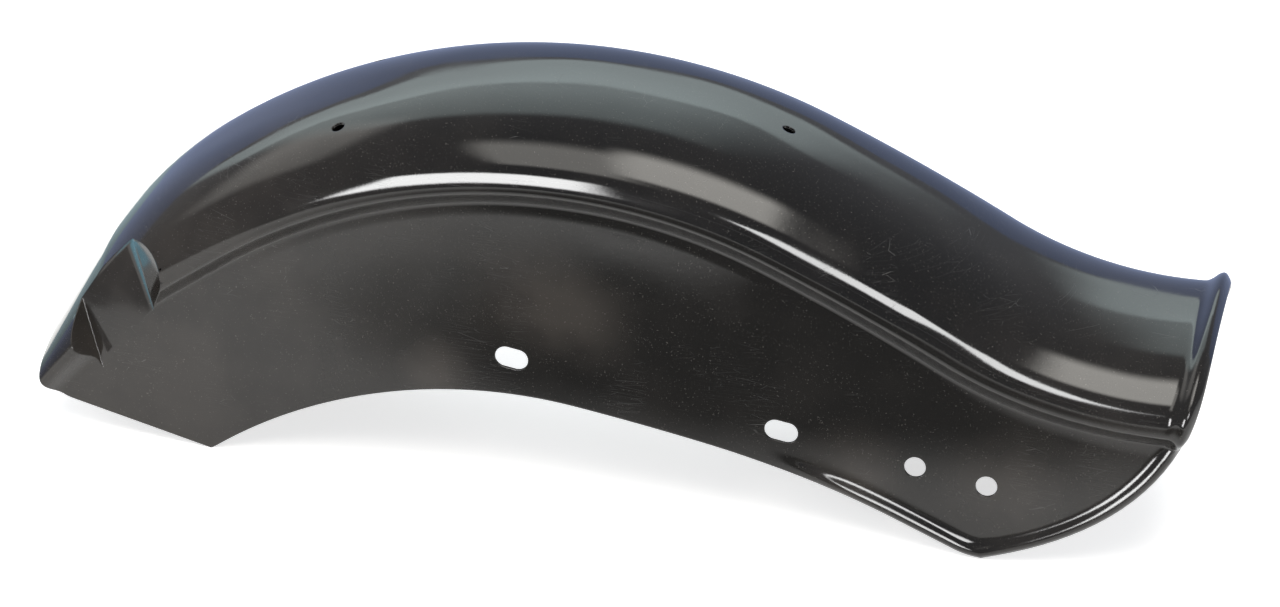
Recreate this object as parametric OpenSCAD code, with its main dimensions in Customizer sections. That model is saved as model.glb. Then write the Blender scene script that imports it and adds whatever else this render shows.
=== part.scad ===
// Rear fender of a motorcycle: one shell, deep drawn from sheet steel.
// X runs to the tail, Y runs across, Z is up. The fender stands on its four low points at z = 0.
// A side view is a list of [x, z]. The shell is a grid of stations along the fender and rows
// from the crest down to the trimmed edge, and the far side mirrors the near one.

/* [Sheet] */
// Thickness of the steel sheet
sheet_t = 1.6; // [1.2:0.1:2.5]

/* [Section] */
// Width over the shoulders
shoulder_w = 200; // [190:1:220]
// Width across the skirts, just under the shoulders
skirt_w = 176; // [166:1:182]
// Lean of each skirt, the lower edge outwards, in degrees
skirt_lean = 2; // [0:0.5:4]
// Height of the crown above the widest line, at the middle of the fender
crown_h = 46; // [40:1:54]
// Height of the crown above the widest line, at the front end
crown_front_h = 12; // [10:1:18]
// Squareness of the crown: 2 is an ellipse, more is flatter on top
crown_square = 2.5; // [2:0.1:2.8]
// Height of the step from the widest line down to the skirt
step_h = 16; // [12:1:20]

/* [Crest line] */
// Distance from the front low point forward to the corner where the front panel would end
nose_reach = 137; // [131:1:143]
// Length of the flat front panel, from that corner up to the fold
panel_len = 96; // [88:1:104]
// Slope of the front panel, in degrees above level
panel_slope = 62.5; // [59:0.5:66]
// Turn of the fold at the top of the front panel, in degrees
fold_turn = 7; // [4:0.5:11]
// Radius of the crest behind the fold
front_r = 250; // [230:5:280]
// Turn of the crest behind the fold, in degrees
front_turn = 18; // [14:0.5:22]
// Radius of the crest over the wheel
main_r = 429; // [419:1:439]
// Turn of the crest over the wheel, in degrees
main_turn = 59; // [57:0.5:61]
// Nearly straight run behind the wheel
run_len = 138; // [125:1:150]
// Turn of that run, in degrees
run_turn = 5; // [3:0.5:7]
// Radius of the upward sweep of the tail
tail_r = 252; // [235:1:270]
// Turn of the upward sweep of the tail, in degrees
tail_turn = 34.5; // [32:0.5:38]

/* [Lower edge] */
// Distance between the two low points of a skirt
stance = 523; // [500:1:540]
// Rise of the cut across the front end, in degrees
front_cut = 12; // [8:0.5:16]
// Radius of the corner between the front cut and the front panel
nose_r = 30; // [20:1:36]
// Radius of the wheel arch
arch_r = 325; // [300:5:350]
// Turn of the wheel arch, in degrees
arch_turn = 46; // [42:0.5:50]
// Roundness of the rear edge: how far it bulges past a straight cut
rear_bulge = 37; // [31:0.5:42]

/* [Bead] */
// Height of the rolled bead round the tail
bead_tail_h = 6; // [3:0.5:8]
// Width of the rolled bead round the tail
bead_tail_w = 18; // [14:1:24]
// Height of the joggled rim along the skirts
bead_skirt_h = 3.5; // [2:0.5:5]
// Width of the joggled rim along the skirts
bead_skirt_w = 13; // [10:1:18]
// Length over which the rim fades in along the lower edge
bead_fade = 70; // [40:5:100]

/* [Frame notch] */
// Width of the notch floor along the fender
notch_w = 51; // [40:1:60]
// Half width of the fender at the upper edge of the notch floor
notch_top_y = 75; // [68:1:80]
// Slope of the notch floor: outward run for each millimetre down
notch_lean = 0.36; // [0.3:0.02:0.5]

/* [Holes] */
// Diameter of the strut holes and width of the strut slots
strut_d = 14.3; // [8:0.1:16]
// Length of the strut slots
slot_len = 22.5; // [18:0.5:30]
// Slope of the row of strut holes, in degrees down to the rear
strut_slope = 8.1; // [5:0.1:11]
// Distance from the first slot to the second one
slot_pitch = 184.7; // [172:0.1:196]
// Distance from the second slot to the first round hole
round_offset = 91; // [85:0.5:98]
// Distance between the two round holes
round_pitch = 48.5; // [40:0.5:55]
// Diameter of the holes in the crown
crown_hole_d = 9; // [5:0.5:12]
// Distance between the two front holes in the crown
crown_hole_pitch = 122; // [100:1:126]
// Diameter of the two holes in the front panel
panel_hole_d = 11; // [6:0.5:14]
// Distance between the two holes in the front panel
panel_hole_pitch = 38; // [30:1:50]

/* [Hidden] */

// Sampling of the shell
panel_steps = 6;
fold_steps = 2;
lead_steps = 3;
main_steps = 28;
tail_steps = 8;
crown_angles = [0, 13, 25, 36, 46, 55, 63.5, 71.5, 78.5, 84.5, 90];
step_parts = 4;
skirt_parts = 3;
bead_parts = 4;
depth_samples = 16;

function unit(a) = a / norm(a);
function clamp01(t) = min(1, max(0, t));
function ease(t) = let (c = clamp01(t)) c * c * (3 - 2 * c);
function mix(a, b, t) = a + (b - a) * t;

// A side-view path is a start [x, z, heading] and a list of [length, turn] arcs that join smoothly.
function arc(r, turn) = [r * abs(turn) * PI / 180, turn];
function advance(p, len, turn) =
    let (chord = turn == 0 ? len : 2 * len / (turn * PI / 180) * sin(turn / 2))
    [p[0] + chord * cos(p[2] + turn / 2), p[1] + chord * sin(p[2] + turn / 2), p[2] + turn];
function path_len(legs, i = 0) = i == len(legs) ? 0 : legs[i][0] + path_len(legs, i + 1);
function walk(p, legs, s, i = 0) =
    s <= legs[i][0] || i == len(legs) - 1
        ? advance(p, s, legs[i][1] * s / legs[i][0])
        : walk(advance(p, legs[i][0], legs[i][1]), legs, s - legs[i][0], i + 1);

// Crest line, from just under the corner of the front panel to the tip of the tail
front_low_x = -268.1;
panel_spare = 10;
nose_corner = [front_low_x - nose_reach, nose_reach * tan(front_cut)];
panel_dir = [cos(panel_slope), sin(panel_slope)];
nose = concat(nose_corner - panel_spare * panel_dir, [panel_slope]);
fold_len = 10;
crest_legs = [
    [panel_spare + panel_len, 0],
    [fold_len, -fold_turn],
    arc(front_r, -front_turn),
    arc(main_r, -main_turn),
    [run_len, -run_turn],
    arc(tail_r, tail_turn)
];
crest_total = path_len(crest_legs);
function crest(s) = walk(nose, crest_legs, s);

// Lower edge: a straight lead in front of the front low point, the arch and the run to the rear
// low point. The lead lies below the front cut and only guides the stations of the front end.
corner_s = panel_spare + panel_len + 40;
lead_slope = 29;
arch_slope = 39;
edge_legs = [arc(arch_r, -arch_turn), [90, -3], [135, -11], [40, 0.5], [20, 20]];
edge_start = [0, 0, arch_slope];
edge_total = path_len(edge_legs);
edge_end = walk(edge_start, edge_legs, edge_total);
// The path is scaled and levelled so that its far end is one stance away, and above the floor by
// what the lip of the rim reaches below it
rim_swell = 0.43;
edge_scale = stance / edge_end[0];
edge_drop = (edge_end[1] - rim_swell) / edge_end[0];
function edge(t) =
    let (p = walk(edge_start, edge_legs, max(0, t)), lead = min(0, t))
    [
        front_low_x + p[0] * edge_scale + lead * cos(lead_slope),
        p[1] - p[0] * edge_drop + lead * sin(lead_slope)
    ];

// A station is a curve down from the crest to the lower edge. It is straight but for the last
// few, which bend until the last one is the rear edge of the fender.
bend_from = 0.78;
bulge_at = 0.44;
function bend(u) = rear_bulge * pow(max(0, u - bend_from) / (1 - bend_from), 2);
edge_share = edge_total / (crest_total - corner_s);
function station_ends(s) = [crest(s), edge(edge_share * (s - corner_s))];
function station_ctrl(k, e, u) =
    let (d = unit(e - k), out = [-d[1], d[0]])
    mix(k, e, bulge_at) + 2 * bend(u) * out;
function bezier(k, c, e, f) = (1 - f) * (1 - f) * k + 2 * f * (1 - f) * c + f * f * e;
function run_table(k, c, e, i = 0, acc = 0) =
    i > depth_samples ? [] :
    let (
        f = i / depth_samples,
        g = max(0, i - 1) / depth_samples,
        len = acc + norm(bezier(k, c, e, f) - bezier(k, c, e, g))
    )
    concat([[len, f]], run_table(k, c, e, i + 1, len));
// [top, control, bottom, length table, whole length, slant of the station against the crest, share]
function station(s) =
    let (
        ends = station_ends(s),
        u = s / crest_total,
        k = [ends[0][0], ends[0][1]],
        e = ends[1],
        c = station_ctrl(k, e, u),
        table = run_table(k, c, e),
        down = [sin(ends[0][2]), -cos(ends[0][2])]
    )
    [k, c, e, table, table[depth_samples][0], unit(c - k) * down, u, s];
function at_depth(st, v) = bezier(st[0], st[1], st[2], lookup(v, st[3]));

// Section of the shell: [half width, depth] for each row, at one station
front_square = 2;
crown_full_at = 210;
function share_of_crown(s) = ease(s / crown_full_at);
function crown_at(s) = mix(crown_front_h, crown_h, share_of_crown(s));
function square_at(s) = mix(front_square, crown_square, share_of_crown(s));
shoulder_y = shoulder_w / 2;
skirt_y = skirt_w / 2;
edge_rows = [for (i = [bead_parts:-1:0]) bead_skirt_w * i / bead_parts];
function section(st) =
    let (
        slant = st[5],
        b = crown_at(st[7]),
        n = square_at(st[7]),
        root = b + step_h,
        rest = st[4] - root / slant - bead_skirt_w
    )
    concat(
        [for (a = crown_angles)
            [shoulder_y * pow(sin(a), 2 / n), b * (1 - pow(cos(a), 2 / n)) / slant]],
        [for (i = [1:step_parts])
            let (t = i / step_parts)
            [mix(shoulder_y, skirt_y, ease(t)), (b + step_h * t) / slant]],
        [for (i = [1:skirt_parts])
            let (d = rest * i / (skirt_parts + 1))
            [skirt_y + d * tan(skirt_lean), root / slant + d]],
        [for (d = edge_rows)
            [skirt_y + (st[4] - d - root / slant) * tan(skirt_lean), st[4] - d]]
    );

// Stations along the crest, closer together at the fold and at the tail bead
fold_start = panel_spare + panel_len;
fold_end = fold_start + fold_len;
tail_start = crest_total - bead_tail_w;
function steps(from, to, n) = [for (i = [0:n - 1]) mix(from, to, i / n)];
stops = concat(
    steps(0, fold_start, panel_steps),
    steps(fold_start, fold_end, fold_steps),
    steps(fold_end, corner_s, lead_steps),
    steps(corner_s, tail_start, main_steps),
    steps(tail_start, crest_total, tail_steps),
    [crest_total]
);
stations = [for (s = stops) station(s)];
last = len(stations) - 1;

// Plain shell without its bead: a grid of [x, y, z], the near side only
near = [for (st = stations)
    [for (r = section(st))
        let (p = at_depth(st, r[1]))
        [p[0], r[0], p[1]]]];
rows = len(near[0]) - 1;

// Distance in the side view to the beaded edge, which is the lower edge and then the rear edge
rim = concat(
    [for (i = [floor(last / 2):last]) [near[i][rows][0], near[i][rows][2]]],
    [for (j = [rows - 1:-1:0]) [near[last][j][0], near[last][j][2]]]
);
function to_leg(p, a, b) =
    let (d = b - a, q = d * d)
    q == 0 ? norm(p - a) : norm(p - a - d * clamp01((p - a) * d / q));
function to_rim(p) = min([for (i = [1:len(rim) - 1]) to_leg(p, rim[i - 1], rim[i])]);

// The bead rises from the shell to a round ridge and turns down a little at the trimmed edge
fade_back = 372;
fade_from = front_low_x + fade_back;
ridge_at = 0.7;
lip_drop = 1.2;
function bead_shape(t) =
    t <= 0 ? 0 :
    t < ridge_at ? (1 - cos(180 * t / ridge_at)) / 2
                 : 1 - lip_drop * (1 - cos(90 * (t - ridge_at) / (1 - ridge_at)));
function bead(i, j) =
    let (
        p = near[i][j],
        low = ease(2 * section_depth(i, j) / (crown_h + step_h) - 1),
        h = mix(bead_tail_h, bead_skirt_h, low),
        w = mix(bead_tail_w, bead_skirt_w, low)
    )
    i < last / 2 ? 0 :
    h * ease((p[0] - fade_from) / bead_fade) * bead_shape(1 - to_rim([p[0], p[2]]) / w);
function section_depth(i, j) = norm([near[i][j][0], near[i][j][2]] - stations[i][0]);

// Outward normals of a grid, then the outer skin with its bead, and the inner skin a sheet below it
function row_at(grid, i, j) = j < 0 ? flip(grid[i][-j]) : grid[i][min(rows, j)];
function normals(grid) =
    [for (i = [0:last]) [for (j = [0:rows])
        let (
            along = grid[min(last, i + 1)][j] - grid[max(0, i - 1)][j],
            down = row_at(grid, i, j + 1) - row_at(grid, i, j - 1)
        )
        unit(cross(along, down))]];
near_n = normals(near);
outer = [for (i = [0:last]) [for (j = [0:rows]) near[i][j] + bead(i, j) * near_n[i][j]]];
outer_n = normals(outer);
inner = [for (i = [0:last]) [for (j = [0:rows]) outer[i][j] - sheet_t * outer_n[i][j]]];

// Whole rows from one lower edge over the crest to the other
function flip(p) = [p[0], -p[1], p[2]];
function whole(side) = concat([for (j = [rows:-1:1]) side[j]], [for (p = side) flip(p)]);
skin_out = [for (side = outer) whole(side)];
skin_in = [for (side = inner) whole(side)];
cols = 2 * rows + 1;
out_pts = [for (line = skin_out) each line];
in_pts = [for (line = skin_in) each line];
function at(i, j) = i * cols + j;
function outer_faces(end) = [for (i = [0:end - 1]) for (j = [0:cols - 2]) each
    [[at(i, j), at(i + 1, j), at(i + 1, j + 1)], [at(i, j), at(i + 1, j + 1), at(i, j + 1)]]];

module shell_body() {
    base = (last + 1) * cols;
    polyhedron(
        points = concat(out_pts, in_pts),
        faces = concat(
            outer_faces(last),
            [for (i = [0:last - 1]) for (j = [0:cols - 2]) each
                [[base + at(i, j), base + at(i + 1, j + 1), base + at(i + 1, j)],
                 [base + at(i, j), base + at(i, j + 1), base + at(i + 1, j + 1)]]],
            [for (i = [0:last - 1]) each
                [[at(i, 0), base + at(i, 0), base + at(i + 1, 0)], [at(i, 0), base + at(i + 1, 0), at(i + 1, 0)]]],
            [for (i = [0:last - 1]) let (j = cols - 1) each
                [[at(i, j), base + at(i + 1, j), base + at(i, j)], [at(i, j), at(i + 1, j), base + at(i + 1, j)]]],
            [for (j = [0:cols - 2]) each
                [[at(0, j), at(0, j + 1), base + at(0, j + 1)], [at(0, j), base + at(0, j + 1), base + at(0, j)]]],
            [for (j = [0:cols - 2]) let (i = last) each
                [[at(i, j), base + at(i, j + 1), at(i, j + 1)], [at(i, j), base + at(i, j), base + at(i, j + 1)]]]
        )
    );
}

// Everything inside the outer skin of the front end, to trim the sheets of the notch
module filled_front() {
    far = cols - 1;
    end = panel_steps + fold_steps + lead_steps + 4;
    polyhedron(
        points = [for (i = [0:end]) each skin_out[i]],
        faces = concat(
            outer_faces(end),
            [for (i = [0:end - 1]) [at(i, 0), at(i, far), at(i + 1, far), at(i + 1, 0)]],
            [for (j = [0:rows - 2]) [at(0, j), at(0, j + 1), at(0, far - j - 1), at(0, far - j)]],
            [for (j = [0:rows - 2]) [at(end, j), at(end, far - j), at(end, far - j - 1), at(end, j + 1)]],
            [[at(0, rows - 1), at(0, rows), at(0, rows + 1)]],
            [[at(end, rows - 1), at(end, rows + 1), at(end, rows)]]
        )
    );
}

// The notch is a channel with a sloping flat floor and two splayed walls, pressed into the
// shoulder. Each face is a plane y = y0 + g * ([x, z] - notch_corner).
notch_corner = [front_low_x - 62.5, 135];
notch_across = unit([0.908, 0.418]);
notch_down = unit([0.832, -0.555]);
notch_rear_wall = 0.85;
notch_front_wall = 2.2;
module beyond(y0, g, grow) {
    // The space outside the plane, moved inwards by the length grow
    size = 150;
    inset = y0 - grow * norm([1, g[0], g[1]]);
    corners = [[-size, -size], [size, -size], [size, size], [-size, size]];
    translate([notch_corner[0], 0, notch_corner[1]])
        polyhedron(
            points = concat(
                [for (c = corners) [c[0], inset + g * c, c[1]]],
                [for (c = corners) [c[0], shoulder_w + g * c, c[1]]]
            ),
            faces = [[3, 2, 1, 0], [4, 5, 6, 7], [0, 1, 5, 4], [1, 2, 6, 5], [2, 3, 7, 6], [3, 0, 4, 7]]
        );
}
module notch_space(grow) {
    floor_g = notch_lean * notch_down;
    intersection() {
        beyond(notch_top_y, floor_g, grow);
        beyond(notch_top_y, floor_g + notch_rear_wall * notch_across, grow);
        beyond(notch_top_y - notch_front_wall * notch_w, floor_g - notch_front_wall * notch_across, grow);
    }
}
module both_sides() {
    children();
    mirror([0, 1, 0])
        children();
}
module notched_shell() {
    difference() {
        shell_body();
        both_sides() notch_space(0);
    }
    intersection() {
        filled_front();
        both_sides()
            difference() {
                notch_space(sheet_t);
                notch_space(0);
            }
    }
}

// The cut across the front end, through both front low points, and its round corner at the nose
module front_trim() {
    deep = 120;
    lean = 90 - panel_slope - front_cut;
    corner_run = nose_reach / cos(front_cut);
    centre_x = -corner_run + nose_r * (1 + sin(lean)) / cos(lean);
    translate([front_low_x, 0, 0])
        rotate([0, front_cut, 0]) {
            translate([-2 * deep, -shoulder_w, -deep])
                cube([4 * deep, 2 * shoulder_w, deep]);
            difference() {
                translate([centre_x - deep, -shoulder_w, -deep])
                    cube([deep, 2 * shoulder_w, deep + nose_r * (1 + sin(lean))]);
                translate([centre_x, 0, nose_r])
                    rotate([90, 0, 0])
                        cylinder(r = nose_r, h = 3 * shoulder_w, center = true, $fn = 48);
            }
        }
}

// The row of strut holes goes through both skirts
strut_back = 201;
strut_up = 97.5;
strut_first = [front_low_x + strut_back, strut_up];
module strut_hole(along, slot) {
    drill = shoulder_w + 40;
    reach = (slot_len - strut_d) / 2;
    translate([strut_first[0], 0, strut_first[1]])
        rotate([0, strut_slope, 0])
            translate([along, 0, 0])
                rotate([90, 0, 0])
                    if (slot) {
                        for (side = [-1, 1])
                            translate([side * reach, 0, 0])
                                cylinder(d = strut_d, h = drill, center = true, $fn = 48);
                        cube([2 * reach, strut_d, drill], center = true);
                    } else {
                        cylinder(d = strut_d, h = drill, center = true, $fn = 48);
                    }
}

module strut_holes() {
    strut_hole(0, true);
    strut_hole(slot_pitch, true);
    strut_hole(slot_pitch + round_offset, false);
    strut_hole(slot_pitch + round_offset + round_pitch, false);
}

// Holes square to the crest line, at a length along it
module crest_hole(s, y, tilt, d) {
    p = crest(s);
    translate([p[0], y, p[1]])
        rotate([0, -p[2], 0])
            rotate([tilt, 0, 0])
                cylinder(d = d, h = 60, center = true, $fn = 48);
}

front_hole_s = 312;
front_hole_tilt = 12;
rear_hole_s = 611;
panel_hole_up = 67;
panel_hole_s = panel_spare + panel_hole_up;
module crown_holes() {
    for (side = [-1, 1])
        crest_hole(front_hole_s, side * crown_hole_pitch / 2, -side * front_hole_tilt, crown_hole_d);
    crest_hole(rear_hole_s, 0, 0, crown_hole_d);
    for (side = [-1, 1])
        crest_hole(panel_hole_s, side * panel_hole_pitch / 2, 0, panel_hole_d);
}

module fender_shell() {
    color("#2b2726")
        difference() {
            notched_shell();
            front_trim();
            strut_holes();
            crown_holes();
        }
}

fender_shell();
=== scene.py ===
"""Looks of a motorcycle rear fender: a gloss black shell, drawn smooth, in a plain pale studio.

The surface is made from the same sizes as the CAD part, in millimetres, with more stations and
rows, and is scaled to metres at the end. The studio and the paint are in metres.
"""

import math

import bmesh
import bpy
import numpy as np
from mathutils import Matrix, Vector
from mathutils.bvhtree import BVHTree


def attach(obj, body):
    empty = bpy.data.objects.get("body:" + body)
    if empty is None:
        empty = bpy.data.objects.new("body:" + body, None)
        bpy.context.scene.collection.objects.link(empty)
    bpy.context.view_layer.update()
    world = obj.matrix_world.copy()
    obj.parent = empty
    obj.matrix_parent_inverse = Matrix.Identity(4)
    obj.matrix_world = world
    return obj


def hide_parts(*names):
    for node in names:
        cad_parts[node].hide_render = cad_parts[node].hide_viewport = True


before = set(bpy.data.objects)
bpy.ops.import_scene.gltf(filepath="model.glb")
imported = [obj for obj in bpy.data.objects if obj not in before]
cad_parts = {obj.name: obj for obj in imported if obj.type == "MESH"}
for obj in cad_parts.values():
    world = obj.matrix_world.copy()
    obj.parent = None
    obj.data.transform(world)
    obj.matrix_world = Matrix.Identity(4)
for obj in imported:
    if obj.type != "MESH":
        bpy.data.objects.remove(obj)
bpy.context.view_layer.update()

MM = 0.001

# Sizes of the part as part.scad has them, in millimetres and degrees.
# Section: sheet, widths at shoulder and skirt, lean of the skirt, height and squareness of the
# crown at full size and at the front end, and the length along the crest where it is full
SHEET = 1.6
SHOULDER_W, SKIRT_W, SKIRT_LEAN, STEP_H = 200.0, 176.0, 2.0, 16.0
CROWN_H, CROWN_SQUARE = 46.0, 2.5
CROWN_FRONT_H, FRONT_SQUARE, CROWN_FULL_AT = 12.0, 2.0, 210.0

# Crest line, from the nose: spare end, panel, fold, two arcs, run, and the tail's counter arc
FRONT_LOW_X, NOSE_REACH = -268.1, 137.0
PANEL_LEN, PANEL_SLOPE, PANEL_SPARE = 96.0, 62.5, 10.0
FOLD_TURN, FOLD_LEN = 7.0, 10.0
FRONT_R, FRONT_TURN, MAIN_R, MAIN_TURN = 250.0, 18.0, 429.0, 59.0
RUN_LEN, RUN_TURN, TAIL_R, TAIL_TURN = 138.0, 5.0, 252.0, 34.5

# Lower edge, from the front low point: the arch, then legs of length and turn. The rear low
# point lies STANCE behind, and the bead swells RIM_SWELL below the edge. Before the front low
# point a straight lead guides the stations of the front end. FRONT_CUT is the rise of the cut
# through both front low points, and NOSE_R the radius of its corner.
STANCE, FRONT_CUT, NOSE_R = 523.0, 12.0, 30.0
ARCH_R, ARCH_TURN, ARCH_SLOPE = 325.0, 46.0, 39.0
AFTER_ARCH = [(90.0, -3.0), (135.0, -11.0), (40.0, 0.5), (20.0, 20.0)]
LEAD_SLOPE, LEAD_LEN, RIM_SWELL = 29.0, 40.0, 0.43

# Rear edge: the share of the crest from which the stations bend backwards, where along their
# chord, and by how much the last one does
BEND_FROM, BULGE_AT, REAR_BULGE = 0.78, 0.44, 37.0

# Rolled bead: height and width at the tail and on the skirt, and where it fades in. The ridge is
# a share of the width from its root, and the lip drops by a share of the height.
BEAD_TAIL_H, BEAD_TAIL_W, BEAD_SKIRT_H, BEAD_SKIRT_W = 6.0, 18.0, 3.5, 13.0
FADE_FROM, BEAD_FADE = FRONT_LOW_X + 372.0, 70.0
RIDGE_AT, LIP_DROP = 0.7, 1.2

# Notches: width, top of the floor in y, slopes of floor and walls, corner and directions in x, z
NOTCH_W, NOTCH_TOP_Y, NOTCH_LEAN, REAR_WALL, FRONT_WALL = 51.0, 75.0, 0.36, 0.85, 2.2
NOTCH_CORNER = (FRONT_LOW_X - 62.5, 135.0)
NOTCH_ACROSS, NOTCH_DOWN = (0.908, 0.418), (0.832, -0.555)

# Holes: diameters, pitches, tilts, and places along the strut row and the crest
STRUT_D, SLOT_LEN, STRUT_SLOPE = 14.3, 22.5, 8.1
STRUT_FIRST = (FRONT_LOW_X + 201.0, 97.5)
SLOT_PITCH, ROUND_OFFSET, ROUND_PITCH = 184.7, 91.0, 48.5
CROWN_HOLE_D, CROWN_HOLE_PITCH, FRONT_HOLE_S, FRONT_HOLE_TILT = 9.0, 122.0, 312.0, 12.0
REAR_HOLE_S = 611.0
PANEL_HOLE_D, PANEL_HOLE_PITCH, PANEL_HOLE_S = 11.0, 38.0, 77.0

# How finely the surface is drawn: stations on the panel, fold, lead, main part and bead, rows of
# crown, step, skirt and rim, and points on the curves that are measured before rows are set
STOPS, BEAD_RUN = (18, 5, 8, 150, 16), 22.0
PARTS = (32, 10, 14, 10)
RIM_ARCS, HOLE_SIDES = 6, 96
CROWN_SAMPLES, STATION_SAMPLES = 600, 65
FAR_AWAY, TINY = 1e9, 1e-12

# The closed solids that cut the shell: how far they reach past it, and where the notches end
PLANE_REACH, TRIM_REACH, CUT_OVER, CREST_DRILL_LEN = 150.0, 120.0, 40.0, 60.0
NOTCH_END_S = 260.0

# Edges sharper than SHARP stay sharp. Faces within ON_SKIN of the uncut sheet take its normals,
# where their own agree with them to the cosine SAME_WAY.
SHARP, ON_SKIN, SAME_WAY = math.radians(35), 0.05, 0.97


def unit(v):
    v = np.asarray(v, float)
    return v / np.linalg.norm(v)


def ease(t):
    """A smooth step from 0 to 1, level at both ends."""
    c = np.clip(t, 0.0, 1.0)
    return c * c * (3 - 2 * c)


def mix(a, b, t):
    return a + (b - a) * t


def arc(r, turn):
    """A leg of a path, as its length and turn, from its radius."""
    return (r * math.radians(abs(turn)), turn)


def advance(p, length, turn):
    """The place and heading after an arc of this length and turn."""
    half = math.radians(turn) / 2
    chord = length if turn == 0 else length * math.sin(half) / half
    a = math.radians(p[2]) + half
    return (p[0] + chord * math.cos(a), p[1] + chord * math.sin(a), p[2] + turn)


def walk(p, legs, s):
    """The place and heading at the length s along a path of legs that starts at p."""
    for length, turn in legs[:-1]:
        if s <= length:
            return advance(p, s, turn * s / length)
        p, s = advance(p, length, turn), s - length
    length, turn = legs[-1]
    return advance(p, s, turn * s / length)


SLOPE = math.radians(PANEL_SLOPE)
NOSE = (
    FRONT_LOW_X - NOSE_REACH - PANEL_SPARE * math.cos(SLOPE),
    NOSE_REACH * math.tan(math.radians(FRONT_CUT)) - PANEL_SPARE * math.sin(SLOPE),
    PANEL_SLOPE,
)
CREST_LEGS = [
    (PANEL_SPARE + PANEL_LEN, 0.0),
    (FOLD_LEN, -FOLD_TURN),
    arc(FRONT_R, -FRONT_TURN),
    arc(MAIN_R, -MAIN_TURN),
    (RUN_LEN, -RUN_TURN),
    arc(TAIL_R, TAIL_TURN),
]
EDGE_LEGS = [arc(ARCH_R, -ARCH_TURN)] + AFTER_ARCH
EDGE_START = (0.0, 0.0, ARCH_SLOPE)
CREST_TOTAL = sum(leg[0] for leg in CREST_LEGS)
EDGE_TOTAL = sum(leg[0] for leg in EDGE_LEGS)
EDGE_END = walk(EDGE_START, EDGE_LEGS, EDGE_TOTAL)
EDGE_SCALE = STANCE / EDGE_END[0]
EDGE_DROP = (EDGE_END[1] - RIM_SWELL) / EDGE_END[0]
CORNER_S = PANEL_SPARE + PANEL_LEN + LEAD_LEN
EDGE_SHARE = EDGE_TOTAL / (CREST_TOTAL - CORNER_S)


def crest(s):
    """The crest line in the side view, as x, z and heading."""
    return walk(NOSE, CREST_LEGS, s)


def edge(t):
    """The lower edge in the side view. Before its start it runs straight, below the front cut."""
    p, lead = walk(EDGE_START, EDGE_LEGS, max(0.0, t)), min(0.0, t)
    a = math.radians(LEAD_SLOPE)
    return np.array([
        FRONT_LOW_X + p[0] * EDGE_SCALE + lead * math.cos(a),
        p[1] - p[0] * EDGE_DROP + lead * math.sin(a),
    ])


class Station:
    """One curve down from the crest to the lower edge, in the side view.

    slant is the depth square to the crest that one unit along the curve gives at its top.
    """

    def __init__(self, s):
        top = crest(s)
        u = s / CREST_TOTAL
        k, e = np.array(top[:2]), edge(EDGE_SHARE * (s - CORNER_S))
        d = unit(e - k)
        bend = REAR_BULGE * (max(0.0, u - BEND_FROM) / (1 - BEND_FROM)) ** 2
        self.s, self.points = s, (k, mix(k, e, BULGE_AT) + 2 * bend * np.array([-d[1], d[0]]), e)
        self.shares = np.linspace(0, 1, STATION_SAMPLES)
        pieces = np.linalg.norm(np.diff(self.at_share(self.shares), axis=0), axis=1)
        self.lengths = np.concatenate([[0], np.cumsum(pieces)])
        a = math.radians(top[2])
        self.slant = float(unit(self.points[1] - k) @ np.array([math.sin(a), -math.cos(a)]))
        self.length = self.lengths[-1]

    def at_share(self, f):
        k, c, e = self.points
        f = np.asarray(f)[:, None]
        return (1 - f) ** 2 * k + 2 * f * (1 - f) * c + f ** 2 * e

    def at_depth(self, v):
        return self.at_share(np.interp(v, self.lengths, self.shares))


def crown_curve(square, count):
    """A quarter superellipse of half width 1 and height 1, as even steps of [across, down]."""
    a = np.radians(np.linspace(0, 90, CROWN_SAMPLES))
    y, d = np.sin(a) ** (2 / square), 1 - np.maximum(np.cos(a), 0) ** (2 / square)
    run = np.concatenate([[0], np.cumsum(np.hypot(np.diff(y) * 2, np.diff(d)))])
    even = np.linspace(0, run[-1], count)
    return np.interp(even, run, y), np.interp(even, run, d)


def section(st, parts):
    """Half widths and depths of one station's rows, for these counts of the four parts' rows."""
    crown_n, step_n, skirt_n, rim_n = parts
    grown = float(ease(st.s / CROWN_FULL_AT))
    b = mix(CROWN_FRONT_H, CROWN_H, grown)
    across, down = crown_curve(mix(FRONT_SQUARE, CROWN_SQUARE, grown), crown_n + 1)
    root = (b + STEP_H) / st.slant
    lean = math.tan(math.radians(SKIRT_LEAN))
    t = np.arange(1, step_n + 1) / step_n
    skirt = root + (st.length - BEAD_SKIRT_W - root) * np.arange(1, skirt_n + 1) / (skirt_n + 1)
    rim = st.length - BEAD_SKIRT_W * (1 - np.arange(0, rim_n + 1) / rim_n)
    low = np.concatenate([skirt, rim])
    step = mix(SHOULDER_W / 2, SKIRT_W / 2, ease(t))
    half = np.concatenate([across * SHOULDER_W / 2, step, SKIRT_W / 2 + (low - root) * lean])
    depth = np.concatenate([down * b / st.slant, (b + STEP_H * t) / st.slant, low])
    return half, depth


def to_polyline(points, line):
    """Distance of each point to a line of points, in the side view."""
    best = np.full(len(points), FAR_AWAY)
    for a, b in zip(line[:-1], line[1:]):
        d = b - a
        q = max(float(d @ d), TINY)
        t = np.clip((points - a) @ d / q, 0, 1)
        best = np.minimum(best, np.linalg.norm(points - a - t[:, None] * d, axis=1))
    return best


def grid_normals(grid):
    """Outward normals of a grid whose row 0 is the crest and whose far side mirrors it."""
    ghost = grid[:, 1:2] * [1, -1, 1]
    wide = np.concatenate([ghost, grid, grid[:, -1:]], axis=1)
    down = wide[:, 2:] - wide[:, :-2]
    tall = np.concatenate([grid[:1], grid, grid[-1:]], axis=0)
    along = tall[2:] - tall[:-2]
    n = np.cross(along, down)
    return n / np.linalg.norm(n, axis=2, keepdims=True)


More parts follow.
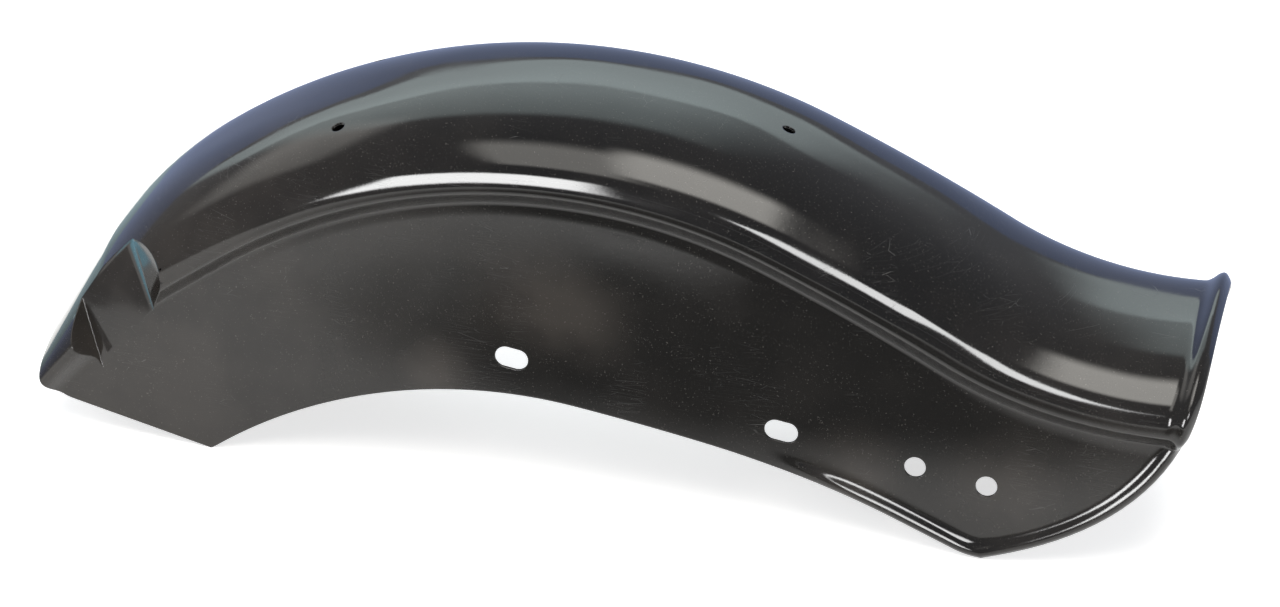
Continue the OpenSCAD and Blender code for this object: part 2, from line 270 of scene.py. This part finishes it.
def bead_shape(t):
    """Height of the bead across its width: 0 at its root, 1 at its ridge, then down to the lip."""
    rise = (1 - np.cos(np.pi * np.clip(t, 0, RIDGE_AT) / RIDGE_AT)) / 2
    lip = LIP_DROP * (1 - np.cos(np.pi / 2 * np.clip((t - RIDGE_AT) / (1 - RIDGE_AT), 0, 1)))
    return np.where(t < RIDGE_AT, rise, 1 - lip)


def shell_grids(stops, parts):
    """Outer and inner grids of [x, y, z] for the side with positive y."""
    stations = [Station(s) for s in stops]
    near = []
    for st in stations:
        half, depth = section(st, parts)
        p = st.at_depth(depth)
        near.append(np.stack([p[:, 0], half, p[:, 1]], axis=1))
    near = np.array(near)
    flat = near[..., [0, 2]]
    rear = len(stops) // 2
    rim = np.concatenate([flat[rear:, -1], flat[-1, ::-1][1:]])
    depth = np.linalg.norm(flat - flat[:, :1], axis=2)
    low = ease(2 * depth / (CROWN_H + STEP_H) - 1)
    height, width = mix(BEAD_TAIL_H, BEAD_SKIRT_H, low), mix(BEAD_TAIL_W, BEAD_SKIRT_W, low)
    away = np.full(depth.shape, FAR_AWAY)
    away[rear:] = to_polyline(flat[rear:].reshape(-1, 2), rim).reshape(depth[rear:].shape)
    height = height * ease((flat[..., 0] - FADE_FROM) / BEAD_FADE)
    bead = height * bead_shape(1 - away / width) * (away < width)
    outer = near + bead[..., None] * grid_normals(near)
    return outer, outer - SHEET * grid_normals(outer)


def all_stops():
    """Stations along the crest, close together over the bead at the tail."""
    panel_end, bead_start = PANEL_SPARE + PANEL_LEN, CREST_TOTAL - BEAD_RUN
    marks = (0.0, panel_end, panel_end + FOLD_LEN, CROWN_FULL_AT, bead_start, CREST_TOTAL)
    parts = [np.linspace(a, b, n + 1)[:-1] for a, b, n in zip(marks[:-1], marks[1:], STOPS)]
    return np.concatenate(parts + [[CREST_TOTAL]])


def whole(side):
    """Both sides of the shell: columns from the right edge over the crest to the left edge."""
    return np.concatenate([side[:, :0:-1] * [1, -1, 1], side], axis=1)


def solid(name, points, faces):
    """A closed mesh object with its faces turned outwards."""
    mesh = bpy.data.meshes.new(name)
    mesh.from_pydata([tuple(p) for p in points], [], [tuple(int(k) for k in f) for f in faces])
    work = bmesh.new()
    work.from_mesh(mesh)
    bmesh.ops.recalc_face_normals(work, faces=work.faces)
    work.to_mesh(mesh)
    work.free()
    obj = bpy.data.objects.new(name, mesh)
    bpy.context.scene.collection.objects.link(obj)
    return obj


def skin_faces(at, rows_n, cols_n):
    """Quads between the rows and columns of a grid, whose point numbers at(i, j) gives."""
    return [
        (at(i, j), at(i + 1, j), at(i + 1, j + 1), at(i, j + 1))
        for i in range(rows_n - 1)
        for j in range(cols_n - 1)
    ]


def shell_solid(outer, inner):
    """The sheet: outer and inner skins, closed by a round rim along the trimmed edge."""
    n, cols = outer.shape[:2]
    last, far = n - 1, cols - 1
    path = [(i, 0) for i in range(n)] + [(last, j) for j in range(1, cols)]
    path += [(i, far) for i in range(last - 1, -1, -1)]
    run = np.array([outer[p] for p in path])
    along = np.gradient(run, axis=0)
    normal = np.array([outer[p] - inner[p] for p in path])
    normal /= np.linalg.norm(normal, axis=1, keepdims=True)
    out = np.cross(along, normal)
    out /= np.linalg.norm(out, axis=1, keepdims=True)
    r = SHEET / 2
    middle = np.array([(outer[p] + inner[p]) / 2 for p in path]) - r * out
    outer, inner = outer.copy(), inner.copy()
    for k, p in enumerate(path):
        outer[p], inner[p] = middle[k] + r * normal[k], middle[k] - r * normal[k]
    turns = [math.pi * m / RIM_ARCS for m in range(1, RIM_ARCS)]
    arcs = [middle + r * (math.cos(t) * normal + math.sin(t) * out) for t in turns]
    points = np.concatenate([outer.reshape(-1, 3), inner.reshape(-1, 3)] + arcs)
    size = n * cols

    def top(i, j):
        return i * cols + j

    def under(i, j):
        return size + i * cols + j

    rings = [[top(*p) for p in path]]
    rings += [[2 * size + m * len(path) + k for k in range(len(path))] for m in range(RIM_ARCS - 1)]
    rings += [[under(*p) for p in path]]
    faces = skin_faces(top, n, cols)
    faces += skin_faces(under, n, cols)
    for a, b in zip(rings[:-1], rings[1:]):
        faces += [(a[k], b[k], b[k + 1], a[k + 1]) for k in range(len(path) - 1)]
    faces += [(top(0, j), top(0, j + 1), under(0, j + 1), under(0, j)) for j in range(far)]
    faces += [tuple(ring[-1] for ring in rings), tuple(ring[0] for ring in reversed(rings))]
    return solid("fender_skin", points, faces)


def filled_solid(outer, end):
    """Everything inside the outer skin of the front end."""
    grid = outer[: end + 1]
    n, cols = grid.shape[:2]
    last, far, crown = n - 1, cols - 1, (cols - 1) // 2

    def at(i, j):
        return i * cols + j

    faces = skin_faces(at, n, cols)
    faces += [(at(i, 0), at(i, far), at(i + 1, far), at(i + 1, 0)) for i in range(last)]
    pairs = [(j, j + 1, far - j - 1, far - j) for j in range(crown - 1)]
    faces += [tuple(at(0, j) for j in pair) for pair in pairs]
    faces += [(at(last, a), at(last, d), at(last, c), at(last, b)) for a, b, c, d in pairs]
    faces += [(at(0, crown - 1), at(0, crown), at(0, crown + 1))]
    faces += [(at(last, crown - 1), at(last, crown + 1), at(last, crown))]
    return solid("filled", grid.reshape(-1, 3), faces)


def combine(target, how, *tools):
    """Joins, cuts or intersects the target with closed solids, which are then removed."""
    for tool in tools:
        step = target.modifiers.new("step", "BOOLEAN")
        step.solver, step.operation, step.object = "MANIFOLD", how, tool
        bpy.context.view_layer.update()
        result = target.evaluated_get(bpy.context.evaluated_depsgraph_get())
        made = bpy.data.meshes.new_from_object(result)
        target.modifiers.clear()
        target.data = made
        bpy.data.objects.remove(tool)
    return target


BLOCK_FACES = [(3, 2, 1, 0), (4, 5, 6, 7), (0, 1, 5, 4), (1, 2, 6, 5), (2, 3, 7, 6), (3, 0, 4, 7)]


def block(low, high, place=Matrix()):
    """A box between two corners, set in place."""
    (x0, y0, z0), (x1, y1, z1) = low, high
    points = [(x0, y0, z0), (x1, y0, z0), (x1, y1, z0), (x0, y1, z0)]
    points += [(x, y, z1) for x, y, _ in points]
    return solid("block", [place @ Vector(p) for p in points], BLOCK_FACES)


def drill(place, d, length):
    """A cylinder along the local z axis."""
    turns = [2 * math.pi * k / HOLE_SIDES for k in range(HOLE_SIDES)]
    ring = [(d / 2 * math.cos(a), d / 2 * math.sin(a)) for a in turns]
    points = [place @ Vector((x, y, z)) for z in (-length / 2, length / 2) for x, y in ring]
    m = HOLE_SIDES
    faces = [(k, (k + 1) % m, m + (k + 1) % m, m + k) for k in range(m)]
    faces += [tuple(range(m - 1, -1, -1)), tuple(range(m, 2 * m))]
    return solid("drill", points, faces)


def beyond(y0, g, grow, side):
    """The space outside one plane of the notch, moved inwards by the length grow."""
    r = PLANE_REACH
    inset = y0 - grow * math.sqrt(1 + g[0] ** 2 + g[1] ** 2)
    corners = [(-r, -r), (r, -r), (r, r), (-r, r)]
    near = [(c[0], inset + g[0] * c[0] + g[1] * c[1], c[1]) for c in corners]
    wide = [(c[0], SHOULDER_W + g[0] * c[0] + g[1] * c[1], c[1]) for c in corners]
    points = [(NOTCH_CORNER[0] + x, side * y, NOTCH_CORNER[1] + z) for x, y, z in near + wide]
    return solid("beyond", points, BLOCK_FACES)


def notch_space(grow, side):
    """The space of one notch between its floor and its two walls, larger by the length grow."""
    across, down = unit(NOTCH_ACROSS), unit(NOTCH_DOWN)
    floor = NOTCH_LEAN * down
    space = beyond(NOTCH_TOP_Y, floor, grow, side)
    rear = beyond(NOTCH_TOP_Y, floor + REAR_WALL * across, grow, side)
    front = beyond(NOTCH_TOP_Y - FRONT_WALL * NOTCH_W, floor - FRONT_WALL * across, grow, side)
    return combine(space, "INTERSECT", rear, front)


def press_notches(shell, outer, stops):
    """Cuts the two notches and closes them with sheet, trimmed by the outer skin."""
    end = int(np.searchsorted(stops, NOTCH_END_S))
    for side in (-1, 1):
        plate = combine(notch_space(SHEET, side), "DIFFERENCE", notch_space(0.0, side))
        combine(plate, "INTERSECT", filled_solid(outer, end))
        combine(shell, "DIFFERENCE", notch_space(0.0, side))
        combine(shell, "UNION", plate)


def trim_front(shell):
    """One cut through both front low points, with a round corner at the nose."""
    deep, wide = TRIM_REACH, SHOULDER_W
    lean = math.radians(90 - PANEL_SLOPE - FRONT_CUT)
    rise = NOSE_R * (1 + math.sin(lean))
    centre_x = -NOSE_REACH / math.cos(math.radians(FRONT_CUT)) + rise / math.cos(lean)
    place = Matrix.Translation((FRONT_LOW_X, 0, 0))
    place = place @ Matrix.Rotation(math.radians(FRONT_CUT), 4, "Y")
    combine(shell, "DIFFERENCE", block((-2 * deep, -wide, -deep), (2 * deep, wide, 0), place))
    corner = block((centre_x - deep, -wide, -deep), (centre_x, wide, rise), place)
    axis = place @ Matrix.Translation((centre_x, 0, NOSE_R)) @ Matrix.Rotation(math.pi / 2, 4, "X")
    combine(corner, "DIFFERENCE", drill(axis, 2 * NOSE_R, 3 * wide))
    combine(shell, "DIFFERENCE", corner)


def strut_drills():
    """Cutters for the row of two slots and two round holes, each through both skirts."""
    row = Matrix.Translation((STRUT_FIRST[0], 0, STRUT_FIRST[1]))
    row = row @ Matrix.Rotation(math.radians(STRUT_SLOPE), 4, "Y")
    reach, wide, r = (SLOT_LEN - STRUT_D) / 2, SHOULDER_W + CUT_OVER, STRUT_D / 2
    sideways = Matrix.Rotation(math.pi / 2, 4, "X")

    def across(run):
        return drill(row @ Matrix.Translation((run, 0, 0)) @ sideways, STRUT_D, wide)

    for run in (0.0, SLOT_PITCH):
        slot = block((run - reach, -wide / 2, -r), (run + reach, wide / 2, r), row)
        yield combine(slot, "UNION", across(run - reach), across(run + reach))
    for run in (SLOT_PITCH + ROUND_OFFSET, SLOT_PITCH + ROUND_OFFSET + ROUND_PITCH):
        yield across(run)


def crest_drill(s, y, tilt, d):
    """A cutter square to the crest line at the length s, at this y and tilt across."""
    x, z, turn = crest(s)
    place = Matrix.Translation((x, y, z)) @ Matrix.Rotation(-math.radians(turn), 4, "Y")
    return drill(place @ Matrix.Rotation(math.radians(tilt), 4, "X"), d, CREST_DRILL_LEN)


def crest_drills():
    """Cutters for the front pair, the panel pair and the single rear hole."""
    for side in (-1, 1):
        y, tilt = side * CROWN_HOLE_PITCH / 2, -side * FRONT_HOLE_TILT
        yield crest_drill(FRONT_HOLE_S, y, tilt, CROWN_HOLE_D)
        yield crest_drill(PANEL_HOLE_S, side * PANEL_HOLE_PITCH / 2, 0.0, PANEL_HOLE_D)
    yield crest_drill(REAR_HOLE_S, 0.0, 0.0, CROWN_HOLE_D)


def keep_smooth(mesh, blank):
    """Gives what is left of the uncut sheet its old normals, so no cut shows in the gloss."""
    count = len(blank.vertices)
    spots, normals = np.empty(3 * count, np.float32), np.empty(3 * count, np.float32)
    blank.vertices.foreach_get("co", spots)
    blank.vertex_normals.foreach_get("vector", normals)
    spots, normals = spots.reshape(-1, 3).astype(float), normals.reshape(-1, 3).astype(float)
    blank.calc_loop_triangles()
    tris = [tuple(t.vertices) for t in blank.loop_triangles]
    tree = BVHTree.FromPolygons([Vector(p) for p in spots], tris)
    known = {}

    def normal_at(v):
        if v not in known:
            spot, _, k, _ = tree.find_nearest(mesh.vertices[v].co)
            a, b, c = (spots[i] for i in tris[k])
            p = np.array(spot)
            whole_area = np.linalg.norm(np.cross(b - a, c - a))
            wa = np.linalg.norm(np.cross(b - p, c - p)) / whole_area
            wb = np.linalg.norm(np.cross(a - p, c - p)) / whole_area
            na, nb, nc = (normals[i] for i in tris[k])
            n = wa * na + wb * nb + max(0.0, 1 - wa - wb) * nc
            known[v] = tuple(n / np.linalg.norm(n))
        return known[v]

    mesh.set_sharp_from_angle(angle=SHARP)
    loops = [(0.0, 0.0, 0.0)] * len(mesh.loops)
    for face in mesh.polygons:
        _, way, _, gap = tree.find_nearest(face.center)
        if gap < ON_SKIN and way.dot(face.normal) > SAME_WAY:
            for k in face.loop_indices:
                loops[k] = normal_at(mesh.loops[k].vertex_index)
    mesh.normals_split_custom_set(loops)


def make_shell():
    """The whole fender as one mesh, in metres."""
    stops = all_stops()
    outer, inner = shell_grids(stops, PARTS)
    outer, inner = whole(outer), whole(inner)
    shell = shell_solid(outer, inner)
    blank = shell.data.copy()
    press_notches(shell, outer, stops)
    trim_front(shell)
    combine(shell, "DIFFERENCE", *strut_drills())
    combine(shell, "DIFFERENCE", *crest_drills())
    mesh = shell.data
    mesh.validate()
    mesh.shade_smooth()
    keep_smooth(mesh, blank)
    mesh.transform(Matrix.Scale(MM, 4))
    return shell


class Tree:
    """Short calls for building a material from nodes."""

    def __init__(self, name):
        self.material = bpy.data.materials.new(name)
        self.material.use_nodes = True
        self.nodes, self.links = self.material.node_tree.nodes, self.material.node_tree.links
        self.nodes.clear()

    def lay_out(self):
        """Sets the textures out in the object's own coordinates."""
        self.place = self.add("TexCoord").outputs["Object"]

    def add(self, kind, values=(), **settings):
        """A node with these settings, and with values or links on its inputs."""
        node = self.nodes.new("ShaderNode" + kind)
        for name, value in settings.items():
            setattr(node, name, value)
        for key, value in dict(values).items():
            if isinstance(value, bpy.types.NodeSocket):
                self.links.new(value, node.inputs[key])
            else:
                node.inputs[key].default_value = value
        return node

    def noise(self, scale, detail=2.0, roughness=0.5):
        values = {"Vector": self.place, "Scale": scale, "Detail": detail, "Roughness": roughness}
        return self.add("TexNoise", values).outputs["Fac"]

    def ramp(self, value, low, high, to_low=0.0, to_high=1.0):
        """An eased step from to_low at the value low to to_high at the value high."""
        values = {"Value": value, "From Min": low, "From Max": high}
        values.update({"To Min": to_low, "To Max": to_high})
        return self.add("MapRange", values, interpolation_type="SMOOTHSTEP").outputs[0]

    def math(self, how, a, b=0.0):
        return self.add("Math", {0: a, 1: b}, operation=how).outputs[0]

    def add_share(self, total, part, share):
        return self.math("ADD", total, self.math("MULTIPLY", part, share))

    def spot(self, at, size):
        """A soft round patch: 1 at the point at, and 0 from the distance size."""
        values = {0: self.place, 1: at}
        gap = self.add("VectorMath", values, operation="DISTANCE").outputs["Value"]
        return self.ramp(gap, 0.0, size, 1.0, 0.0)

    def blend(self, factor, a, b):
        """A mix of two colours. The Mix node's colour sockets are its inputs 6 and 7, output 2."""
        return self.add("Mix", {0: factor, 6: a, 7: b}, data_type="RGBA").outputs[2]

    def show(self, shader):
        out = self.add("OutputMaterial")
        self.links.new(shader, out.inputs["Surface"])
        return self.material


# The paint's colours: clean, the one for haze and painted sheen, and what lies on it
BLACK, SHEEN_AND_HAZE = (0.0045, 0.0042, 0.0039, 1), (0.031, 0.0275, 0.0245, 1)
DUST, SCRATCH = (0.16, 0.15, 0.14, 1), (0.12, 0.12, 0.12, 1)
DUST_SHOWS, SCRATCH_SHOWS, FILM_SHOWS = 0.35, 0.25, 0.12

# Its gloss, and its relief in metres
SMOOTHEST, ROUGHEST, SCRATCH_ROUGH, PAINT_IOR = 0.05, 0.11, 0.2, 1.45
DENT_HEIGHT, PEEL_HEIGHT, EDGE_RADIUS, EDGE_SAMPLES = 0.0022, 0.000012, 0.0011, 4

# The noise that places them: scale, detail and roughness, the last two where they aren't plain
DENTS, PEEL, CLOUD, DUST_GRAIN = (9.0, 1.0), (230.0,), (14.0, 3.0, 0.6), (900.0,)

# The noise values between which each sets in, and for the painted sheen its levels at them
DUST_FROM, PATCH_FROM, FILM_FROM, ROUGH_FROM = (0.66, 0.74), (0.60, 0.68), (0.42, 0.72), (0.3, 0.75)
SHEEN_FROM = (0.30, 0.62, 0.55, 1.0)

# Three families of fine scratches: the turn in radians, their scale, and that of their patches
SCRATCHES = ((0.5, 22.0, 17.0), (-0.35, 31.0, 20.0), (1.35, 26.0, 23.0))
SCRATCH_STRETCH, SCRATCH_WIDTH, PATCH_DETAIL = 14.0, 0.010, 1.0

# Painted sheen: the paint is made lighter towards each end of the fender, in place of how the light
# falls there: from this x, up to this x, how strongly
END_SHEEN = ((-0.05, -0.30, 0.75), (0.20, 0.34, 0.25))

# Painted reflection: lighter patches on the near skirt, in place of its uneven reflections: where,
# how far, how strongly
SHEEN_SPOTS = (
    ((-0.060, -0.09, 0.145), 0.060, 0.9),
    ((-0.020, -0.09, 0.130), 0.045, 0.7),
    ((-0.118, -0.09, 0.080), 0.034, 0.9),
    ((0.165, -0.09, 0.050), 0.045, 0.9),
    ((0.265, -0.09, 0.050), 0.055, 0.6),
)


def fine_scratches(t):
    """Thin straight scratches in patches: 1 on a scratch and 0 beside it."""
    found = None
    for turn, scale, patches in SCRATCHES:
        values = {"Vector": t.place, "Rotation": (0.0, turn, 0.0)}
        values["Scale"] = (1.0, 1.0, SCRATCH_STRETCH)
        place = t.add("Mapping", values).outputs[0]
        cells = t.add("TexVoronoi", {"Vector": place, "Scale": scale}, feature="DISTANCE_TO_EDGE")
        line = t.ramp(cells.outputs["Distance"], 0.0, SCRATCH_WIDTH, 1.0, 0.0)
        here = t.ramp(t.noise(patches, PATCH_DETAIL), *PATCH_FROM)
        line = t.math("MULTIPLY", line, here)
        found = line if found is None else t.math("MAXIMUM", found, line)
    return found


def painted_sheen_and_haze(t, cloud):
    """How much painted sheen and haze the paint has: painted sheen towards the two ends and in
    patches on the near skirt, and haze in thin clouds.
    """
    x = t.add("SeparateXYZ", {"Vector": t.place}).outputs["X"]
    sheen = 0.0
    for start, end, strength in END_SHEEN:
        sheen = t.add_share(sheen, t.ramp(x, start, end), strength)
    for at, size, strength in SHEEN_SPOTS:
        sheen = t.add_share(sheen, t.spot(at, size), strength)
    sheen = t.math("MULTIPLY", sheen, t.ramp(cloud, *SHEEN_FROM))
    return t.add_share(sheen, t.ramp(cloud, *FILM_FROM), FILM_SHOWS)


def paint():
    """Old gloss black enamel: soft dents, a little orange peel, haze with painted sheen, dust and
    fine scratches.
    """
    t = Tree("gloss_black_paint")
    t.lay_out()
    dents, peel, cloud = t.noise(*DENTS), t.noise(*PEEL), t.noise(*CLOUD)
    dust = t.ramp(t.noise(*DUST_GRAIN), *DUST_FROM)
    scratch = fine_scratches(t)
    # Painted sheen and reflection: lighter towards the ends and in patches on the near skirt, with
    # haze in thin clouds
    colour = t.blend(painted_sheen_and_haze(t, cloud), BLACK, SHEEN_AND_HAZE)
    colour = t.blend(t.math("MULTIPLY", dust, DUST_SHOWS), colour, DUST)
    colour = t.blend(t.math("MULTIPLY", scratch, SCRATCH_SHOWS), colour, SCRATCH)
    rough = t.ramp(cloud, *ROUGH_FROM, SMOOTHEST, ROUGHEST)
    rough = t.add_share(rough, scratch, SCRATCH_ROUGH)
    height = t.add_share(t.math("MULTIPLY", dents, DENT_HEIGHT), peel, PEEL_HEIGHT)
    rounded = t.add("Bevel", {"Radius": EDGE_RADIUS}, samples=EDGE_SAMPLES).outputs[0]
    values = {"Strength": 1.0, "Distance": 1.0, "Height": height, "Normal": rounded}
    bump = t.add("Bump", values).outputs[0]
    values = {"Base Color": colour, "Roughness": rough, "Normal": bump, "IOR": PAINT_IOR}
    return t.show(t.add("BsdfPrincipled", values).outputs[0])


# The stage: floor, room and lamp colours
FLOOR_COLOUR, FLOOR_GLOW, FLOOR_REACH = (0.8, 0.8, 0.8, 1), 0.65, 16.0
ROOM = (0.33, 0.34, 0.37)
COOL, WARM, PLAIN = (0.84, 1.0, 1.0), (1.0, 0.97, 0.91), (1.0, 1.0, 1.0)
FENDER_MIDDLE = (0.0, 0.0, 0.2)

# Soft boxes: name, place, size, radiance, colour, the point it faces, and the share of its width
# over which it fades at its sides
BOXES = (
    ("back_box_low", (-1.10, 2.3, 1.20), (3.95, 0.60), 1.1, COOL, (-1.10, 0, 1.20), 0.12),
    ("back_box_high", (-1.20, 2.4, 2.45), (4.2, 2.8), 1.2, COOL, (-1.20, 0, 2.20), 0.26),
    ("left_box", (-2.45, 0.95, 2.10), (2.9, 1.6), 1.25, WARM, (-0.2, 0, 0.2), 0.30),
    ("top_box_front", (-0.46, -1.40, 1.95), (1.10, 2.9), 3.2, WARM, (-0.46, -1.2, 0.25), 0.22),
    ("top_box_rear", (0.40, -0.92, 1.95), (1.15, 2.4), 7.2, WARM, (0.40, -0.8, 0.25), 0.22),
)

# Strips: name, the two ends of the middle line, width, radiance, and whether they light the stage
STRIPS = (
    ("strip_front", (-0.53, -1.0, 0.20), (-0.10, -1.0, 0.19), 0.41, 25.0, False),
    ("strip_rear", (0.30, -2.8, 0.70), (1.34, -2.8, 1.46), 0.58, 20.0, True),
)
STRIP_FADE = 0.15

# The blue-grey card that stands behind the fender: places on the floor, and its height there
CARD = (0.33, 0.40, 0.62)
CARD_POSTS = (
    (-1.0, -0.45, 0.30),
    (-1.05, 0.20, 0.32),
    (-0.72, 0.58, 0.36),
    (-0.1, 0.55, 0.41),
    (0.25, 0.52, 0.33),
    (0.9, 0.5, 0.28),
)

# Painted shadow: a dark oval on the floor by the near skirt, in place of the fender's shadow there
# as
# the gloss mirrors it: colour, the share of it that has no soft rim, middle and half sizes
FLOOR_SHADOW, FLOOR_SHADOW_CORE = (0.32, 0.32, 0.31), 0.45
FLOOR_SHADOW_AT, FLOOR_SHADOW_SIZE = (0.08, -0.39, 0.003), (0.44, 0.23)

# Cards flat on the floor: name, two corners, height over the floor, colour. The first is the dull
# floor in front, the second is mirrored by the rear wall of the near notch, and the third by the
# front panel.
FLOOR_CARDS = (
    ("front_flag", (-6.0, -8.0), (6.0, -0.62), 0.002, ROOM),
    ("cyan_card", (-0.80, -0.25), (-0.57, -0.02), 0.004, (1.5, 3.2, 4.0)),
    ("pale_card", (-0.95, 0.02), (-0.50, 0.65), 0.004, (0.40, 0.53, 0.57)),
)


def floor_paint():
    """White for the camera and the gloss, less where the object keeps the lamps off."""
    t = Tree("white_floor")
    rays = t.add("LightPath").outputs
    seen = t.math("ADD", rays["Is Camera Ray"], rays["Is Glossy Ray"])
    seen = t.math("MAXIMUM", t.math("MINIMUM", seen, 1.0), rays["Is Transmission Ray"])
    plain = t.add("BsdfDiffuse", {"Color": FLOOR_COLOUR})
    glow = t.math("MULTIPLY", seen, FLOOR_GLOW)
    glow = t.add("Emission", {"Color": (1, 1, 1, 1), "Strength": glow})
    return t.show(t.add("AddShader", {0: plain.outputs[0], 1: glow.outputs[0]}).outputs[0])


def card_paint(name, colour):
    t = Tree(name)
    return t.show(t.add("Emission", {"Color": (*colour, 1), "Strength": 1.0}).outputs[0])


def stage_sheet(name, points, faces, material):
    """A flat or folded sheet that belongs to the stage and not to the object."""
    mesh = bpy.data.meshes.new(name)
    mesh.from_pydata(points, [], faces)
    obj = bpy.data.objects.new(name, mesh)
    bpy.context.scene.collection.objects.link(obj)
    mesh.materials.append(material)
    return obj


def only_in_gloss(obj):
    obj.visible_camera = obj.visible_diffuse = obj.visible_shadow = False


def level_sheet(name, low, high, z, material):
    """A level rectangle of the stage between two corners, at the height z."""
    (x0, y0), (x1, y1) = low, high
    corners = [(x0, y0, z), (x1, y0, z), (x1, y1, z), (x0, y1, z)]
    return stage_sheet(name, corners, [(0, 1, 2, 3)], material)


def standing_card():
    """The card behind the fender, which only the gloss of the paint shows."""
    foot = [(x, y, 0.0) for x, y, _ in CARD_POSTS]
    n = len(foot)
    faces = [(k, k + 1, n + k + 1, n + k) for k in range(n - 1)]
    only_in_gloss(stage_sheet("card", foot + list(CARD_POSTS), faces, card_paint("card", CARD)))


def painted_floor_shadow():
    """A painted shadow: a dark oval with a soft rim on the floor, in place of the fender's shadow
    there, which only the gloss of the paint shows.
    """
    t = Tree("flag")
    t.lay_out()
    near, far = FLOOR_SHADOW_SIZE
    values = {0: t.place, 1: (1 / near, 1 / far, 0.0)}
    flat = t.add("VectorMath", values, operation="MULTIPLY").outputs[0]
    gap = t.add("VectorMath", {0: flat}, operation="LENGTH").outputs["Value"]
    cover = t.ramp(gap, FLOOR_SHADOW_CORE, 1.0, 1.0, 0.0)
    dark = t.add("Emission", {"Color": (*FLOOR_SHADOW, 1), "Strength": 1.0}).outputs[0]
    clear = t.add("BsdfTransparent").outputs[0]
    t.show(t.add("MixShader", {0: cover, 1: clear, 2: dark}).outputs[0])
    flag = level_sheet("flag", (-near, -far), (near, far), 0.0, t.material)
    flag.location = FLOOR_SHADOW_AT
    only_in_gloss(flag)


def fade_edges(lamp, soft):
    """Lets the lamp's brightness fall off towards its sides over this share of its width."""
    lamp.use_nodes = True
    nodes, links = lamp.node_tree.nodes, lamp.node_tree.links
    spread = nodes.new("ShaderNodeSeparateXYZ")
    links.new(nodes.new("ShaderNodeNewGeometry").outputs["Parametric"], spread.inputs[0])

    def calc(how, *inputs):
        node = nodes.new("ShaderNodeMath")
        node.operation = how
        for socket, value in zip(node.inputs, inputs):
            if isinstance(value, bpy.types.NodeSocket):
                links.new(value, socket)
            else:
                socket.default_value = value
        return node.outputs[0]

    levels = []
    for name in ("X", "Y"):
        near = spread.outputs[name]
        rise = nodes.new("ShaderNodeMapRange")
        rise.interpolation_type = "SMOOTHSTEP"
        rise.inputs["From Max"].default_value = soft
        links.new(calc("MINIMUM", near, calc("SUBTRACT", 1.0, near)), rise.inputs["Value"])
        levels.append(rise.outputs[0])
    links.new(calc("MULTIPLY", *levels), nodes["Emission"].inputs["Strength"])


def softbox(name, at, size, radiance, colour, aim, soft):
    """An area lamp of this size and brightness that faces the point aim."""
    lamp = bpy.data.lights.new(name, "AREA")
    lamp.shape, lamp.size, lamp.size_y = "RECTANGLE", size[0], size[1]
    lamp.energy = radiance * math.pi * size[0] * size[1]
    lamp.color = colour
    obj = bpy.data.objects.new(name, lamp)
    obj.location = at
    obj.rotation_euler = (Vector(aim) - Vector(at)).to_track_quat("-Z", "Y").to_euler()
    fade_edges(lamp, soft)
    bpy.context.scene.collection.objects.link(obj)
    return obj


def strip(name, start, end, width, radiance):
    """A long lamp whose middle line runs from start to end, and which faces the fender."""
    a, b, middle = Vector(start), Vector(end), Vector(FENDER_MIDDLE)
    at = (a + b) / 2
    obj = softbox(name, at, ((b - a).length, width), radiance, PLAIN, middle, STRIP_FADE)
    along, back = (b - a).normalized(), (at - middle).normalized()
    up = back.cross(along).normalized()
    obj.rotation_euler = Matrix((along, up, along.cross(up))).transposed().to_euler()
    return obj


def studio():
    """What the paint mirrors: a white floor, a dull room, cool boxes behind, warm ones above and
    at the left, two narrow strips in front, and cards and a painted floor shadow that only the
    gloss shows."""
    world = bpy.data.worlds.new("room")
    world.use_nodes = True
    world.node_tree.nodes["Background"].inputs["Color"].default_value = (*ROOM, 1)
    bpy.context.scene.world = world
    r = FLOOR_REACH
    level_sheet("floor", (-r, -r), (r, r), 0.0, floor_paint())
    standing_card()
    # Painted shadow on the floor by the near skirt, seen only in the gloss
    painted_floor_shadow()
    for name, low, high, z, colour in FLOOR_CARDS:
        only_in_gloss(level_sheet(name, low, high, z, card_paint(name, colour)))
    for box in BOXES:
        softbox(*box)
    for name, start, end, width, radiance, lights_stage in STRIPS:
        strip(name, start, end, width, radiance).visible_diffuse = lights_stage


# The photograph's viewpoint: 9.5 degrees towards the tail and 25 degrees up, turned 3.8 degrees
CAMERA_AT = (0.58417, -3.48474, 1.75408)
CAMERA_AXES = (
    (0.97953615, -0.134661, 0.14958393),
    (0.192184, 0.40502699, -0.89387832),
    (0.05978502, 0.90433376, 0.42261826),
)
LENS_MM, SENSOR_MM, CLIP_END = 163.17, 36.0, 100.0


def camera():
    data = bpy.data.cameras.new("camera")
    data.sensor_width, data.lens, data.clip_end = SENSOR_MM, LENS_MM, CLIP_END
    obj = bpy.data.objects.new("camera", data)
    obj.matrix_world = Matrix.Translation(CAMERA_AT) @ Matrix(CAMERA_AXES).to_4x4()
    bpy.context.scene.collection.objects.link(obj)
    bpy.context.scene.camera = obj
    bpy.context.scene.view_settings.view_transform = "Standard"


camera()
shell = make_shell()
shell.data.materials.clear()
shell.data.materials.append(paint())
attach(shell, "root")
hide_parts("fender_shell")
studio()
